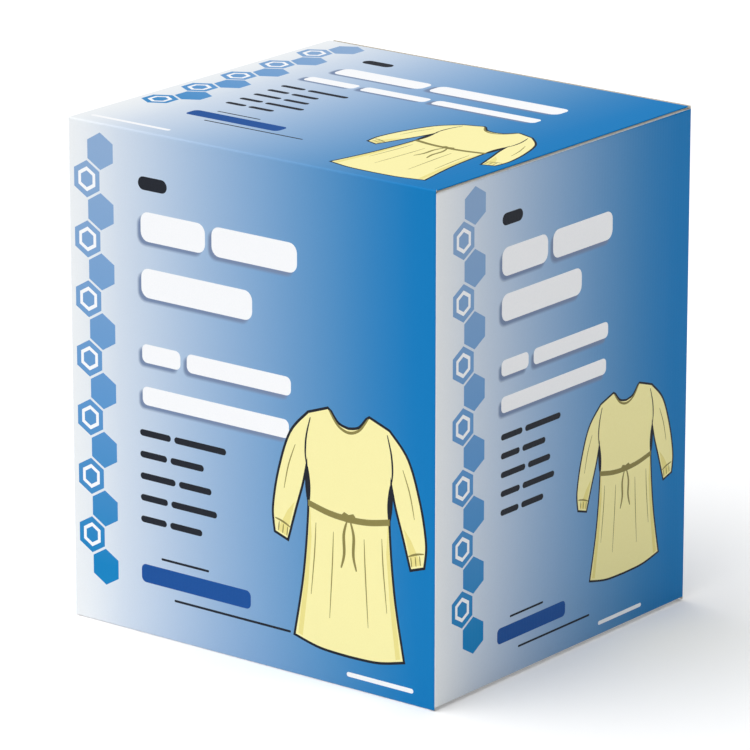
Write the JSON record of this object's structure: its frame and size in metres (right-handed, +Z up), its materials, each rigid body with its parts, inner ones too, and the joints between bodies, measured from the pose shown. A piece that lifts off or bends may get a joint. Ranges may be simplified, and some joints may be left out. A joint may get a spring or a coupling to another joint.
{
  "type": "printed cardboard carton for isolation gowns",
  "caption": "Closed tuck-top carton of printed corrugated board: a front-hinged lid tucks in at the back over dust flaps, above an empty inside and a glued flap base.",
  "frame": {"origin": "centre of the carton's base, on the floor", "axes": "+Z up; the front panel faces -Y and the right-hand side panel faces +X"},
  "size_m": [0.335, 0.305, 0.38],
  "materials": {
    "print_front": "satin aqueous varnish over a blue gradient on white-lined corrugated board",
    "print_side": "satin aqueous varnish over a blue gradient on white-lined corrugated board",
    "print_lid": "satin aqueous varnish over a blue gradient on white-lined corrugated board",
    "white_liner": "unprinted white liner, matt"
  },
  "bodies": {
    "carton": {"wall_front": "print_front", "wall_right": "print_side", "wall_back": "print_front", "wall_left": "print_side", "glue_tab": "white_liner", "base_front": "white_liner", "base_back": "white_liner", "base_left": "white_liner", "base_right": "white_liner"},
    "lid": {"lid": "print_lid"},
    "tuck": {"tuck_flap": "white_liner"},
    "dust_left": {"dust_flap_left": "white_liner"},
    "dust_right": {"dust_flap_right": "white_liner"}
  },
  "joints": [
    {"name": "lid_fold", "type": "hinge", "parent": "carton", "child": "lid", "pos_m": [0, -0.1525, 0.38], "axis": [1, 0, 0], "range_deg": [0, 175]},
    {"name": "tuck_fold", "type": "hinge", "parent": "lid", "child": "tuck", "pos_m": [0, 0.1504, 0.38], "axis": [1, 0, 0], "range_deg": [0, 79]},
    {"name": "dust_right_fold", "type": "hinge", "parent": "carton", "child": "dust_right", "pos_m": [0.1675, 0, 0.3779], "axis": [0, 1, 0], "range_deg": [0, 98]},
    {"name": "dust_left_fold", "type": "hinge", "parent": "carton", "child": "dust_left", "pos_m": [-0.1675, 0, 0.3779], "axis": [0, -1, 0], "range_deg": [0, 98]}
  ],
  "couplings": [
    {"joint": "tuck_fold", "follows": "lid_fold", "ratio": 0.45},
    {"joint": "dust_right_fold", "follows": "lid_fold", "ratio": 0.56},
    {"joint": "dust_left_fold", "follows": "lid_fold", "ratio": 0.56}
  ]
}
